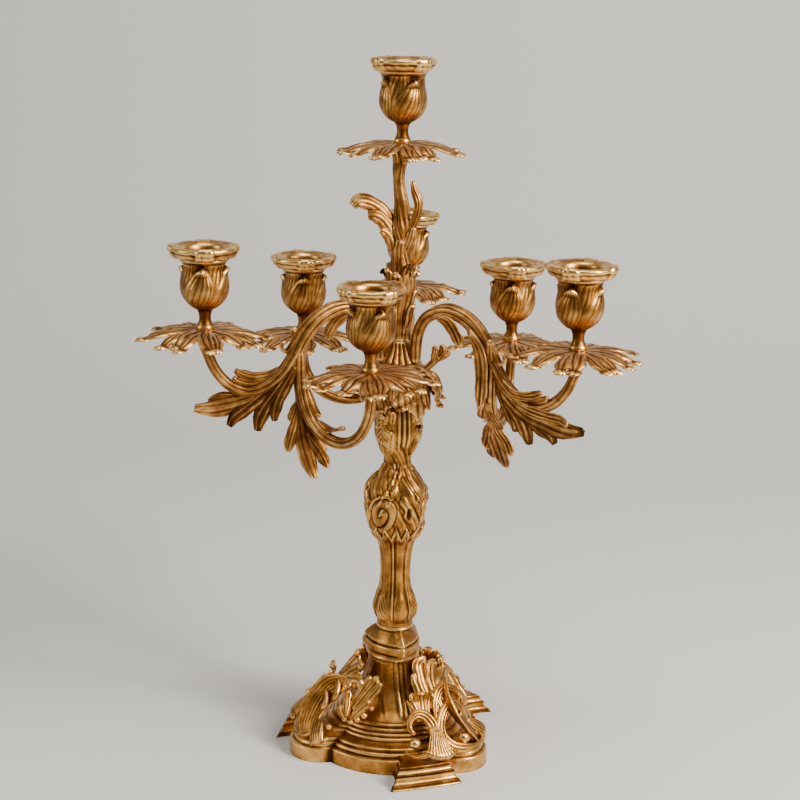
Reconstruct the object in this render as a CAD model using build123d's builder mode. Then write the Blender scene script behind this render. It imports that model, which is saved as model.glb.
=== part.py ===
from build123d import *

import os
from math import cos, hypot, radians, sin, tan

# Seven-light tabletop candelabra in gilt bronze, built as separate castings and fasteners.
#
# The origin is on the stem's axis where the base stands on the table. +Z is up and -Y is the front.
# An azimuth is counted in degrees from the front, counter-clockwise seen from above, so +X is 90.
# All lengths are millimetres.

os.makedirs("parts", exist_ok=True)

# ---------------------------------------------------------------- driving dimensions
total_height = 562.0          # table to the rim of the middle nozzle
plinth_radius = 70.0          # round part of the base
plinth_height = 12.5
foot_azimuth = 17.0           # middle of the front foot; the others follow at thirds of a turn
foot_reach = 93.0             # axis to the outer bottom edge of a foot
foot_width = 56.0
cap_height = 103.0            # top of the base casting, where the stem stands
vase_top = 300.0              # top of the stem casting
collar_top = 320.0            # top of the leafy collar that the branches sit on
seat_thickness = 2.0          # loose ring between the collar and the branches

cup_height = 64.2             # top of a drip pan to the rim of its nozzle
outer_cup_radius = 157.9      # axis to the outer cup of an arm
inner_cup_radius = 98.7       # axis to the inner cup of an arm
outer_cup_azimuth = 55.6
inner_cup_azimuth = 111.3
outer_rim_height = 423.2
inner_rim_height = 401.4

candle_radius = 11.0          # bore for a 22 mm candle
candle_depth = 29.0
nozzle_wall = 2.0
rim_radius = 26.0
running_gap = 0.3             # between a lift-out piece and what it stands in

rod_radius = 3.0              # M6 tie rods
nut_flats = 10.0
stud_radius = 2.0             # M4 studs under the cups
pan_thickness = 1.8
branch_radius = 4.4           # round section of an arm

# Each arm: its name, its turn about the axis and how much its outer end is bent up.
arms = [("right", 1.2, -1.4), ("back", 122.1, -2.1), ("left", -123.3, 3.5)]


# ---------------------------------------------------------------- helpers
def at(radius, azimuth, height=0.0):
    """Point at a distance from the axis, an azimuth and a height."""
    angle = radians(azimuth)
    return (radius * sin(angle), -radius * cos(angle), height)


def upright(place=(0, 0, 0)):
    """Plane through a place whose local x is +X and local y is +Z, for profiles to revolve."""
    return Plane(origin=place, x_dir=(1, 0, 0), z_dir=(0, -1, 0))


def post(place=(0, 0, 0)):
    """Vertical axis through a place."""
    return Axis(place, (0, 0, 1))


def wall_plane(start, end):
    """Vertical plane from one place towards another; local x is the way along, local y is +Z."""
    along = Vector(end[0] - start[0], end[1] - start[1], 0).normalized()
    return Plane(origin=(start[0], start[1], 0), x_dir=along, z_dir=along.cross(Vector(0, 0, 1)))


def facing(azimuth, radius, height, lean=0.0):
    """Plane at a place on the base whose normal points outwards, leaning back by an angle."""
    outwards = at(cos(radians(lean)), azimuth, sin(radians(lean)))
    across = (cos(radians(azimuth)), sin(radians(azimuth)), 0)
    return Plane(origin=at(radius, azimuth, height), x_dir=across, z_dir=outwards)


def bend_radii(points, share=0.45):
    """Largest corner radii that the runs beside each corner of a path allow."""
    radii = []
    for before, corner, after in zip(points, points[1:], points[2:]):
        run_in = Vector(corner[0] - before[0], corner[1] - before[1])
        run_out = Vector(after[0] - corner[0], after[1] - corner[1])
        half_turn = radians(run_in.get_angle(run_out)) / 2
        radii.append(share * min(run_in.length, run_out.length) / tan(half_turn))
    return radii


def finish(name, builder):
    """Label a finished piece and write it."""
    builder.part.label = name
    export_step(builder.part, f"parts/{name}.step")


def turned(name, profile, place=(0, 0, 0)):
    """Piece of revolution about a vertical axis from a closed outline of radius and height."""
    with BuildPart() as piece:
        with BuildSketch(upright(place)):
            with BuildLine():
                Polyline(*profile, close=True)
            make_face()
        revolve(axis=post(place))
    finish(name, piece)


# ---------------------------------------------------------------- base
base_outline = [
    (rod_radius + 0.3, 92), (15, 92), (15, 60), (20, 42), (28, 32), (28, 20), (46, 20),
    (50, 15), (60, 9), (60, 0), (plinth_radius, 0), (plinth_radius, 11), (68, plinth_height),
    (66, 14), (65, 16.5), (62, 17.5), (60.5, 19), (56.5, 20), (53.5, 22), (52, 25), (49.5, 27),
    (48, 30), (45.5, 32), (43, 34), (35, 40.5), (29, 48), (25, 56), (22, 64), (20.8, 72),
    (21.5, 78), (24, 82), (24.3, 87), (21.5, 92), (16, 98.5), (14.5, cap_height),
    (rod_radius + 0.3, cap_height),
]
foot_steps = [(0.0, 4.5, 0.0), (4.5, 8.5, 2.5), (8.5, 12.0, 4.5), (12.0, 15.0, 8.0)]
lobe_radius = 25.0
lobe_centre = 65.0
lobe_offset = 36.0            # from the middle of a foot to the middle of its lobe
scroll_ovals = [              # offset azimuth, radius, height, half width, half height, lean
    (-6.0, 60.0, 34.0, 10.0, 20.0, 25.0),
    (27.0, 60.0, 38.0, 20.0, 24.0, 20.0),
    (34.0, 40.0, 58.0, 14.0, 17.0, 25.0),
]
scroll_depth = 7.0

with BuildPart() as base_casting:
    with BuildSketch(upright()):
        with BuildLine():
            Polyline(*base_outline, close=True)
        make_face()
    revolve(axis=post())
    for third in range(3):
        azimuth = foot_azimuth + 120 * third
        outwards = Plane(origin=(0, 0, 0), x_dir=at(1, azimuth), z_dir=(0, 0, 1))
        for bottom, top, inset in foot_steps:
            length = foot_reach - inset - 61
            with BuildSketch(outwards.offset(bottom)):
                with Locations((61 + length / 2, 0)):
                    Rectangle(length, foot_width - 2 * inset)
            extrude(amount=top - bottom)
        with BuildSketch(Plane.XY):
            with Locations(at(lobe_centre, azimuth + lobe_offset)[:2]):
                Circle(lobe_radius)
            Circle(60.5, mode=Mode.SUBTRACT)
        extrude(amount=plinth_height)
        for offset, radius, height, half_width, half_height, lean in scroll_ovals:
            with BuildSketch(facing(azimuth + offset, radius, height, lean)):
                Ellipse(half_width, half_height)
            extrude(amount=-2 * scroll_depth)
    with BuildSketch(Plane.XY):
        Circle(60)
    extrude(amount=9, mode=Mode.SUBTRACT)
finish("base_casting", base_casting)

turned("base_washer", [(rod_radius + 0.2, 17), (34, 17), (34, 20), (rod_radius + 0.2, 20)])

with BuildPart() as base_nut:
    with BuildSketch(Plane.XY.offset(12)):
        RegularPolygon(nut_flats / 2, 6, major_radius=False)
        Circle(rod_radius, mode=Mode.SUBTRACT)
    extrude(amount=5)
finish("base_nut", base_nut)

# ---------------------------------------------------------------- stem
socket_floor = 262.0          # bottom of the socket for the branches
socket_outer = 13.0
socket_inner = 11.2

turned("tie_rod", [(0, 10), (rod_radius, 10), (rod_radius, socket_floor - 1), (0, socket_floor - 1)])

stem_outline = [
    (rod_radius + 0.3, cap_height), (14.4, cap_height), (15.2, 108), (17.6, 114), (18.2, 119),
    (15.6, 128), (12.8, 135), (11.5, 146), (12.1, 164), (15.5, 178), (20.0, 186), (22.5, 197),
    (24.0, 210), (23.4, 221), (16.7, 231), (10.9, 239), (10.0, 245), (13.0, 254), (18.3, 264),
    (19.0, 273), (18.0, 285), (15.2, 296), (14.8, vase_top), (socket_outer, vase_top),
    (socket_outer, 257), (7.5, 257), (7.5, 250), (rod_radius + 0.3, 250),
]
turned("stem_casting", stem_outline)

with BuildPart() as rod_nut:
    with BuildSketch(Plane.XY.offset(250)):
        RegularPolygon(nut_flats / 2, 6, major_radius=False)
        Circle(rod_radius, mode=Mode.SUBTRACT)
    extrude(amount=5)
finish("rod_nut", rod_nut)

collar_outline = [
    (socket_outer + 0.1, vase_top), (15.5, vase_top), (19, 303), (22, 306), (21, 311), (18.4, 316),
    (18.4, collar_top), (socket_outer + 0.1, collar_top),
]
with BuildPart() as leaf_collar:
    with BuildSketch(upright()):
        with BuildLine():
            Polyline(*collar_outline, close=True)
        make_face()
    revolve(axis=post())
    for leaf in range(6):
        leaf_plane = wall_plane((0, 0), at(1, foot_azimuth + 60 * leaf))
        with BuildSketch(leaf_plane):
            with BuildLine():
                Polyline((17, 303), (22, 309), (31, 306), (34, 298), (33, 291), (30, 299), (24, 304),
                         close=True)
            make_face()
        extrude(amount=6, both=True)
finish("leaf_collar", leaf_collar)

socket_outline = [
    (0, 257.2), (socket_outer, 257.2), (socket_outer, collar_top - 0.5),
    (socket_inner, collar_top - 0.5), (socket_inner, socket_floor), (0, socket_floor),
]
rod_pocket = socket_floor - 1
with BuildPart() as socket_liner:
    with BuildSketch(upright()):
        with BuildLine():
            Polyline(*socket_outline, close=True)
        make_face()
    revolve(axis=post())
    with Locations((0, 0, 257.2)):
        Cylinder(rod_radius, rod_pocket - 257.2, align=(Align.CENTER, Align.CENTER, Align.MIN),
                 mode=Mode.SUBTRACT)
finish("socket_liner", socket_liner)

# ---------------------------------------------------------------- branch holder
seat_top = collar_top + seat_thickness
turned("seat_ring", [(socket_inner, collar_top), (18, collar_top), (18, seat_top),
                     (socket_inner, seat_top)])

cone_top = 343.0
plug_radius = socket_inner - running_gap
lug_reach = 16.0              # axis to the seat of an arm
lug_radius = 4.5
lug_top = 338.0
screw_radius = 1.5            # M3 screws that hold the arms
screw_head = 2.8
screw_head_top = 325.0
cone_outline = [
    (rod_radius, seat_top), (18.4, seat_top), (18.4, 325), (16, 326), (15.4, 332), (12.5, 337),
    (9, 340), (7, cone_top), (rod_radius, cone_top),
]
lug_places = [at(lug_reach, outer_cup_azimuth + turn)[:2] for _, turn, _ in arms]
with BuildPart() as fluted_hub:
    with BuildSketch(upright()):
        with BuildLine():
            Polyline(*cone_outline, close=True)
        make_face()
    revolve(axis=post())
    with BuildSketch(Plane.XY.offset(seat_top)):
        with Locations(*lug_places):
            Circle(lug_radius)
    extrude(amount=lug_top - seat_top)
    with BuildSketch(Plane.XY.offset(seat_top)):
        with Locations(*lug_places):
            Circle(screw_head)
    extrude(amount=screw_head_top - seat_top, mode=Mode.SUBTRACT)
    with BuildSketch(Plane.XY.offset(seat_top)):
        with Locations(*lug_places):
            Circle(screw_radius)
    extrude(amount=lug_top - seat_top, mode=Mode.SUBTRACT)
finish("fluted_hub", fluted_hub)

screw_length = 19.0
with BuildPart() as arm_screws:
    with BuildSketch(Plane.XY.offset(screw_head_top)):
        with Locations(*lug_places):
            Circle(screw_head)
    extrude(amount=-2)
    with BuildSketch(Plane.XY.offset(screw_head_top)):
        with Locations(*lug_places):
            Circle(screw_radius)
    extrude(amount=screw_length)
finish("arm_screws", arm_screws)

turned("branch_plug", [(rod_radius, 272), (plug_radius - 1, 272), (plug_radius, 276),
                       (plug_radius, seat_top), (rod_radius, seat_top)])

cluster_rod_top = 380.0
turned("branch_rod", [(0, 264), (rod_radius, 264), (rod_radius, cluster_rod_top),
                      (0, cluster_rod_top)])
with BuildPart() as branch_nut:
    with BuildSketch(Plane.XY.offset(267)):
        RegularPolygon(nut_flats / 2, 6, major_radius=False)
        Circle(rod_radius, mode=Mode.SUBTRACT)
    extrude(amount=5)
finish("branch_nut", branch_nut)

# ---------------------------------------------------------------- middle branch
centre_pan_top = total_height - cup_height
centre_branch_outline = [
    (0, cluster_rod_top), (rod_radius, cluster_rod_top), (rod_radius, cone_top), (6.6, cone_top),
    (6, 350), (8, 362), (10.5, 372), (10, 385), (10.5, 398), (8.5, 408), (7, 425), (6.4, 455),
    (5.4, 470), (6, 482), (8, centre_pan_top - pan_thickness),
    (stud_radius, centre_pan_top - pan_thickness), (stud_radius, centre_pan_top - 12),
    (0, centre_pan_top - 12),
]
twig_leaves = [               # azimuth and outline (radius, height) of the leaves on the stem
    (-80, [(4, 432), (10, 452), (22, 460), (32, 455), (26, 448), (18, 440), (9, 428)]),
    (75, [(4, 428), (12, 432), (15, 448), (11, 466), (9, 450), (4, 440)]),
]
with BuildPart() as centre_branch:
    with BuildSketch(upright()):
        with BuildLine():
            Polyline(*centre_branch_outline, close=True)
        make_face()
    revolve(axis=post())
    for azimuth, outline in twig_leaves:
        with BuildSketch(wall_plane((0, 0), at(1, azimuth))):
            with BuildLine():
                Polyline(*outline, close=True)
            make_face()
        extrude(amount=4, both=True)
finish("centre_branch", centre_branch)

# ---------------------------------------------------------------- arms
outer_route = [               # radius and height along the main scroll and the outer branch
    (lug_reach, lug_top + 0.8), (17.5, 352), (25, 364), (40, 371), (55, 369.5), (69, 361.5), (80, 349), (88, 335),
    (98, 321.5), (111.5, 312), (126, 309), (140, 315), (150.5, 327), (156.5, 341),
]
inner_route = [               # distance from the fork and height along the inner branch
    (0, 338), (0.5, 320), (4, 305), (12, 291), (25, 280.5), (42, 276), (59, 278), (74, 287),
    (84, 301), (87.5, 314),
]
fork_radius = 84.0
leaf_outline = [              # the big leaf under the outer branch
    (94, 322), (100, 302), (104, 288), (112, 280), (121, 279), (126, 286), (136, 281), (142, 286),
    (153, 288), (165, 296), (156, 304), (145, 306), (130, 304), (112, 309),
]
drop_outline = [              # the hanging leaf under the inner branch, from the fork
    (6, 300), (14, 282), (18, 256), (24, 256), (22, 246), (30, 240), (40, 246), (49, 258),
    (47, 270), (38, 278), (28, 284),
]
leaf_thickness = 5.0
socket_height = 3.0           # disc at a branch's end that the pan is clamped on


def lifted(route, rise, reach):
    """Route of distance and height, bent up towards its outer end."""
    bent = []
    for distance, height in route:
        share = max(0.0, min(1.0, (distance - 40) / (reach - 40)))
        bent.append((distance, height + rise * share))
    return bent


lights = [("centre", (0.0, 0.0), total_height)]
for arm_name, turn, rise in arms:
    outer = at(outer_cup_radius, outer_cup_azimuth + turn)
    inner = at(inner_cup_radius, inner_cup_azimuth + turn)
    lights.append((f"{arm_name}_outer", outer[:2], outer_rim_height + rise))
    lights.append((f"{arm_name}_inner", inner[:2], inner_rim_height + rise))

    fork = at(fork_radius, outer_cup_azimuth + turn)
    outer_plane = wall_plane((0, 0), outer)
    inner_plane = wall_plane(fork, inner)
    inner_length = hypot(inner[0] - fork[0], inner[1] - fork[1])
    outer_end = outer_rim_height + rise - cup_height - pan_thickness
    inner_end = inner_rim_height + rise - cup_height - pan_thickness
    outer_points = lifted(outer_route, rise, outer_cup_radius)
    outer_points.append((outer_cup_radius, outer_end - socket_height / 2))
    inner_points = [(s, z + rise) for s, z in inner_route]
    inner_points.append((inner_length, inner_end - socket_height / 2))

    with BuildPart() as arm:
        with BuildLine(outer_plane) as outer_line:
            FilletPolyline(*outer_points, radius=bend_radii(outer_points))
        with BuildSketch(outer_line.line ^ 0):
            Circle(branch_radius)
        sweep(path=outer_line.line)
        with BuildLine(inner_plane) as inner_line:
            FilletPolyline(*inner_points, radius=bend_radii(inner_points))
        with BuildSketch(inner_line.line ^ 0):
            Circle(branch_radius)
        sweep(path=inner_line.line)
        with BuildSketch(outer_plane):
            with BuildLine():
                Polyline(*lifted(leaf_outline, rise, outer_cup_radius), close=True)
            make_face()
        extrude(amount=leaf_thickness / 2, both=True)
        with BuildSketch(inner_plane):
            with BuildLine():
                Polyline(*[(s, z + rise) for s, z in drop_outline], close=True)
            make_face()
        extrude(amount=leaf_thickness / 2, both=True)
        for place, end in ((outer, outer_end), (inner, inner_end)):
            with Locations((place[0], place[1], end)):
                Cylinder(7, socket_height, align=(Align.CENTER, Align.CENTER, Align.MAX))
                Cylinder(stud_radius, 8, align=(Align.CENTER, Align.CENTER, Align.MAX),
                         mode=Mode.SUBTRACT)
        with Locations(at(lug_reach, outer_cup_azimuth + turn, lug_top)):
            Cylinder(lug_radius, 2, align=(Align.CENTER, Align.CENTER, Align.MIN))
            Cylinder(screw_radius, screw_head_top + screw_length - lug_top,
                     align=(Align.CENTER, Align.CENTER, Align.MIN), mode=Mode.SUBTRACT)
    finish(f"arm_{arm_name}", arm)

# ---------------------------------------------------------------- cups, pans and nozzles
cup_floor = cup_height - candle_depth - nozzle_wall - running_gap
tube_radius = candle_radius + nozzle_wall
cup_bore = tube_radius + running_gap
rim_bottom = 55.0
cup_outline = [
    (stud_radius, 0), (6.7, 0), (6.7, 3), (4.6, 9), (8, 17), (13, 21.5), (16.3, 27), (17.1, 33),
    (16.2, 41), (15.2, 47.5), (17, 51), (19, rim_bottom - running_gap),
    (cup_bore, rim_bottom - running_gap), (cup_bore, cup_floor), (stud_radius, cup_floor),
]
nozzle_outline = [
    (0, cup_floor + running_gap), (tube_radius, cup_floor + running_gap),
    (tube_radius, rim_bottom), (23, rim_bottom), (rim_radius, rim_bottom + 3),
    (rim_radius, cup_height - 1.5), (24, cup_height), (candle_radius + 1, cup_height),
    (candle_radius, cup_height - 1), (candle_radius, cup_height - candle_depth),
    (0, cup_height - candle_depth),
]
pan_radius = 50.0
pan_lobes = 9
pan_outline = [
    (stud_radius, 0), (10, 0), (28, -1), (42, -4.5), (pan_radius, -9),
    (pan_radius - 1, -9 - pan_thickness), (41, -4.5 - pan_thickness), (27.5, -1 - pan_thickness),
    (10, -pan_thickness), (stud_radius, -pan_thickness),
]

for light_name, (x, y), rim in lights:
    pan_top = rim - cup_height
    turned(f"cup_{light_name}", cup_outline, (x, y, pan_top))
    turned(f"nozzle_{light_name}", nozzle_outline, (x, y, pan_top))
    with BuildPart() as pan:
        with BuildSketch(upright((x, y, pan_top))):
            with BuildLine():
                Polyline(*pan_outline, close=True)
            make_face()
        revolve(axis=post((x, y, pan_top)))
        with Locations((x, y, pan_top)):
            with PolarLocations(pan_radius + 2.0, pan_lobes):
                Cylinder(6, 30, mode=Mode.SUBTRACT)
    finish(f"pan_{light_name}", pan)
    turned(f"stud_{light_name}", [(0, -8), (stud_radius, -8), (stud_radius, cup_floor - 2),
                                  (0, cup_floor - 2)], (x, y, pan_top - pan_thickness))
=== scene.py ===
# %% [markdown]
# # A gilt-bronze candelabra
# This lesson dresses a seven-light table candelabra in its ornament. The plain model comes in first as a
# fixed frame: it holds the sizes, the axes and everything that lifts or turns. Each casting is then modelled
# over it. The real object was cast in pieces from wax models, chased with small chisels and fire-gilt, so the
# pieces here start the way a wax modeller starts: as a flat sheet that is rolled, cut to a leaf and curled.

# %% Load the frame
import math

import bpy
import numpy as np
from mathutils import Matrix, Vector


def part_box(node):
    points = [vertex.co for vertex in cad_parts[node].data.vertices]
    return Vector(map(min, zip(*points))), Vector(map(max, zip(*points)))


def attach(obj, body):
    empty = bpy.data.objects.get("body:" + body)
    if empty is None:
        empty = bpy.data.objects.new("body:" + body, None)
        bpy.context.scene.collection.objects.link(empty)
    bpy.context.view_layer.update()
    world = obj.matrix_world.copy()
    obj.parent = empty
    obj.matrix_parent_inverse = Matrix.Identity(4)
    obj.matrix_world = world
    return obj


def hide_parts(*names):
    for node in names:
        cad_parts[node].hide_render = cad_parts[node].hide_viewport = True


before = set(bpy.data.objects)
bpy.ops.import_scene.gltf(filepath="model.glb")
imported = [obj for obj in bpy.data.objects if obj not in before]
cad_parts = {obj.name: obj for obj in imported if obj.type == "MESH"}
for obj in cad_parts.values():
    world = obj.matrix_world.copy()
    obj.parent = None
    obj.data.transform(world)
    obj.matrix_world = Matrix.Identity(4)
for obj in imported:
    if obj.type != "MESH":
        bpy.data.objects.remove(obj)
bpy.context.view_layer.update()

# %% [markdown]
# ## Places
# Everything is measured in millimetres from the stem's axis at the table and turned into metres as the last
# step. An azimuth is counted from the front (-Y) towards the right (+X). The lights' places are read from
# the frame: a pan's box gives the middle of its light and the height where its cup stands.

# %% Places and sizes
MM = 0.001


def at(radius, azimuth, height=0.0):
    """Point at a distance from the axis, an azimuth and a height."""
    angle = math.radians(azimuth)
    return np.array([radius * math.sin(angle), -radius * math.cos(angle), height])


def middle_and_top(node):
    """Middle of a node's box seen from above, with the height of its top, in millimetres."""
    low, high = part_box(node)
    return np.array([(low[0] + high[0]) / 2, (low[1] + high[1]) / 2, high[2]]) / MM


ARMS = ["right", "back", "left"]
LIGHTS = ["centre"] + [f"{arm}_{end}" for arm in ARMS for end in ("outer", "inner")]
FOOT = {light: middle_and_top(f"pan_{light}") for light in LIGHTS}
CUP_HEIGHT = (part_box("nozzle_centre")[1][2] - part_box("pan_centre")[1][2]) / MM
print("cup height", round(CUP_HEIGHT, 1), "mm, lights:",
      {k: [round(float(c)) for c in p] for k, p in FOOT.items()})

# %% [markdown]
# ## The modeller's tools
# Every piece begins as a grid, which is the sheet of wax. Its vertices already hold two numbers, how far
# they are across and along the sheet, and a shape is a rule that turns these two numbers into a place.
# Rolling a sheet into a tube lays its two long edges on each other, so the seam is welded afterwards.

# %% Sheet of wax


def wax_sheet(name, across, along):
    """Flat grid with its vertices' places across and along, both from 0 to 1."""
    bpy.ops.object.select_all(action="DESELECT")
    bpy.ops.mesh.primitive_grid_add(x_subdivisions=across, y_subdivisions=along, size=2)
    sheet = bpy.context.object
    sheet.name = sheet.data.name = name
    spots = np.empty(len(sheet.data.vertices) * 3)
    sheet.data.vertices.foreach_get("co", spots)
    spots = spots.reshape(-1, 3)
    return sheet, np.clip((spots[:, 0] + 1) / 2, 0, 1), np.clip((spots[:, 1] + 1) / 2, 0, 1)


def set_points(piece, points):
    """Move a mesh's vertices to points in millimetres."""
    piece.data.vertices.foreach_set("co", (points * MM).ravel())
    piece.data.update()


def get_points(piece):
    """A mesh's vertices in millimetres."""
    spots = np.empty(len(piece.data.vertices) * 3)
    piece.data.vertices.foreach_get("co", spots)
    return spots.reshape(-1, 3) / MM


def only(piece):
    """Select one piece and nothing else."""
    bpy.ops.object.select_all(action="DESELECT")
    piece.select_set(True)
    bpy.context.view_layer.objects.active = piece


def weld(piece, distance=0.004):
    """Merge the edges that lie on each other and turn all faces outwards."""
    only(piece)
    bpy.ops.object.mode_set(mode="EDIT")
    bpy.ops.mesh.select_all(action="SELECT")
    bpy.ops.mesh.remove_doubles(threshold=distance * MM)
    bpy.ops.mesh.dissolve_degenerate(threshold=0.0005 * MM)
    bpy.ops.mesh.normals_make_consistent(inside=False)
    bpy.ops.object.mode_set(mode="OBJECT")
    bpy.ops.object.shade_smooth()
    return piece


def join(name, pieces):
    """Make several meshes one piece."""
    only(pieces[0])
    for piece in pieces[1:]:
        piece.select_set(True)
    if len(pieces) > 1:
        bpy.ops.object.join()
    whole = bpy.context.object
    whole.name = whole.data.name = name
    return whole


# %% [markdown]
# ## Lines and frames
# A modeller draws a scroll through a few points and lets the curve run smoothly between them. The same is
# done here: a line through a few chosen points, divided into even steps. At each step a small frame of three
# directions says which way is forward, which is across and which is out of the surface.

# %% Smooth lines


def smooth_line(points, count, fine=24):
    """Even steps along a smooth line through points; a repeated point makes a corner."""
    points = np.asarray(points, float)
    padded = np.vstack([2 * points[0] - points[1], points, 2 * points[-1] - points[-2]])
    t = np.linspace(0, 1, fine, endpoint=False)[:, None]
    runs = []
    for a, b, c, d in zip(padded, padded[1:], padded[2:], padded[3:]):
        runs.append(0.5 * (2 * b + (c - a) * t + (2 * a - 5 * b + 4 * c - d) * t**2
                           + (3 * b - a - 3 * c + d) * t**3))
    line = np.vstack(runs + [points[-1:]])
    steps = np.r_[0, np.cumsum(np.linalg.norm(np.diff(line, axis=0), axis=1))]
    even = np.linspace(0, steps[-1], count)
    return np.stack([np.interp(even, steps, line[:, k]) for k in range(line.shape[1])], axis=1)


def unit(vectors):
    """Vectors of length one."""
    return vectors / np.maximum(np.linalg.norm(vectors, axis=-1, keepdims=True), 1e-9)


def frames(line, out):
    """Forward, across and out directions at each point of a line, out being near a given direction."""
    forward = unit(np.gradient(line, axis=0))
    across = unit(np.cross(np.broadcast_to(np.asarray(out, float), line.shape), forward))
    return forward, across, np.cross(forward, across)


def along(values, place):
    """Values given at even steps, read at places from 0 to 1."""
    values = np.asarray(values, float)
    steps = np.linspace(0, 1, len(values))
    if values.ndim == 1:
        return np.interp(place, steps, values)
    return np.stack([np.interp(place, steps, values[:, k]) for k in range(values.shape[1])], axis=-1)


def reeds(place, count, sharp=0.6):
    """Convex reeds side by side, 1 on their backs and 0 in the grooves between."""
    return np.abs(np.sin(np.pi * count * place)) ** sharp


def swell(x, middle, width):
    """Soft bump that is 1 at its middle and 0 a width away."""
    return np.clip(1 - ((x - middle) / width) ** 2, 0, 1) ** 2


def ease(x, start, end):
    """Smooth step from 0 to 1."""
    t = np.clip((x - start) / (end - start), 0, 1)
    return t * t * (3 - 2 * t)


# %% [markdown]
# ## Three ways to shape a sheet
# `turned` rolls the sheet round the axis after an outline, like a cup on a lathe, and a relief rule raises
# the ornament on it. `swept` rolls it round a line, like an arm. `leaf` folds it flat round a spine, so that
# the blade has a front, a back and a rounded margin, with reeds that fan from the spine into each lobe.

# %% Turned, swept and leaf shapes


def turned(name, outline, around, rows, relief=None, middle=(0, 0, 0)):
    """Closed piece of revolution after an outline of radius and height, with raised ornament."""
    sheet, u, v = wax_sheet(name, around, rows)
    line = smooth_line(outline, rows * 2 + 1)
    slope = unit(np.gradient(line, axis=0))
    radius, height = along(line, v).T
    lean = along(slope, v)
    azimuth = u * 2 * np.pi
    lift = relief(azimuth, radius, height, v) if relief else 0.0
    radius = np.maximum(radius + lift * lean[:, 1], 0)
    height = height - lift * lean[:, 0]
    points = np.stack([radius * np.sin(azimuth), -radius * np.cos(azimuth), height], axis=1)
    set_points(sheet, points + np.asarray(middle, float))
    return weld(sheet)


def swept(name, line, out, width, depth, around=40, rows=160, grooves=8, cut=0.14, twist=0.0, ends=0.04):
    """Fluted bar along a line, width across it and depth out of its plane given along its length."""
    sheet, u, v = wax_sheet(name, around, rows)
    line = smooth_line(line, rows * 2 + 1)
    forward, across, outwards = frames(line, out)
    angle = u * 2 * np.pi
    closing = np.sqrt(np.clip(np.minimum(v, 1 - v) / ends, 0, 1))
    strands = reeds(u + twist * v, grooves, 0.75)
    section = 1 - cut * (1 - strands) + 0.04 * reeds(u + twist * v, grooves * 3)
    half_width = along(width, v) * closing * section
    half_depth = along(depth, v) * closing * section
    points = (along(line, v) + along(across, v) * (half_width * np.cos(angle))[:, None]
              + along(outwards, v) * (half_depth * np.sin(angle))[:, None])
    set_points(sheet, points)
    return weld(sheet)


FACE_SHARE = 0.64  # of the points round a leaf's section, those that lie on its face
FINE_RIBS_FROM = 60  # points round a section that are enough to carry a second, finer set of ribs


def tongue(name, spine, out, width, reed_count=5, relief=0.7, thickness=1.8, scallop=0.06, arch=0.0,
           around=48, rows=64, point=0.20):
    """Tongue-shaped lobe whose reeds run along it and fan out with its width."""
    sheet, u, v = wax_sheet(name, around, rows)
    line = smooth_line(spine, rows * 2 + 1)
    forward, across, outwards = frames(line, out)
    length = np.linalg.norm(np.diff(line, axis=0), axis=1).sum()
    turn = np.where(u < FACE_SHARE, u / FACE_SHARE, 2 - (1 - u) / (1 - FACE_SHARE)) / 2
    side = 0.4 * np.cos(turn * 2 * np.pi) + 0.6 * (1 - 4 * np.minimum(turn, 1 - turn))
    face = np.sin(turn * 2 * np.pi)
    half = along(width, v)
    wander = 0.035 * np.sin(7 * v + half[0] + spine[0][0])
    ribs = reeds((side + 1) / 2 + wander, reed_count)
    if around >= FINE_RIBS_FROM:
        ribs = 0.75 * ribs + 0.25 * reeds((side + 1) / 2 - wander, reed_count * 2)
    end = ease(v, 0.7, 1.0)
    back = length * end * (point * side**2 - scallop * ribs)
    place = np.clip(v - back / length, 0, 1)
    rise = relief * (ribs - 0.5) * ease(v, 0.02, 0.3) * (1 - 0.5 * end) - arch * side**2 * half
    body = thickness / 2 * np.sign(face) * np.abs(face) ** 0.6 * np.sqrt(np.clip(np.minimum(v, 1 - v) * 14,
                                                                                 0, 1))
    points = (along(line, place) + along(across, place) * (side * half)[:, None]
              + along(outwards, place) * (rise + body)[:, None])
    set_points(sheet, points)
    return weld(sheet)


LOBE_WIDTHS = np.array([0.40, 0.66, 0.88, 1.02, 1.06, 0.94, 1.06, 0.98, 0.66])


def spray(name, out, lobes, relief=1.0, thickness=2.6, arch=0.22, around=32, rows=44, point=0.12):
    """Acanthus leaf as a fan of overlapping lobes, each its line's points and its half width or widths."""
    parts = []
    for number, (points, half) in enumerate(lobes):
        width = np.array(half if np.ndim(half) else LOBE_WIDTHS * half)
        parts.append(tongue(f"{name}_{number}", points, out, width, reed_count=3, relief=relief * 0.55,
                            thickness=thickness, scallop=0.045, arch=arch, around=around, rows=rows,
                            point=point))
    return parts


# %% [markdown]
# ## Patina, wear and painted shade
# Two hundred years of hands and polish leave gilding bright on every ridge and brown with patina in every
# groove, and the grooves are painted darker still, as painted shade for the shade that falls in them. So each
# mesh measures itself: its points are smoothed over their neighbours, and how far a point stands out of the
# smoothed shape says whether it is a ridge or a groove. The number is kept on the mesh as the attribute
# `relief`, which the materials read.

# %% Ridges and grooves


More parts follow.
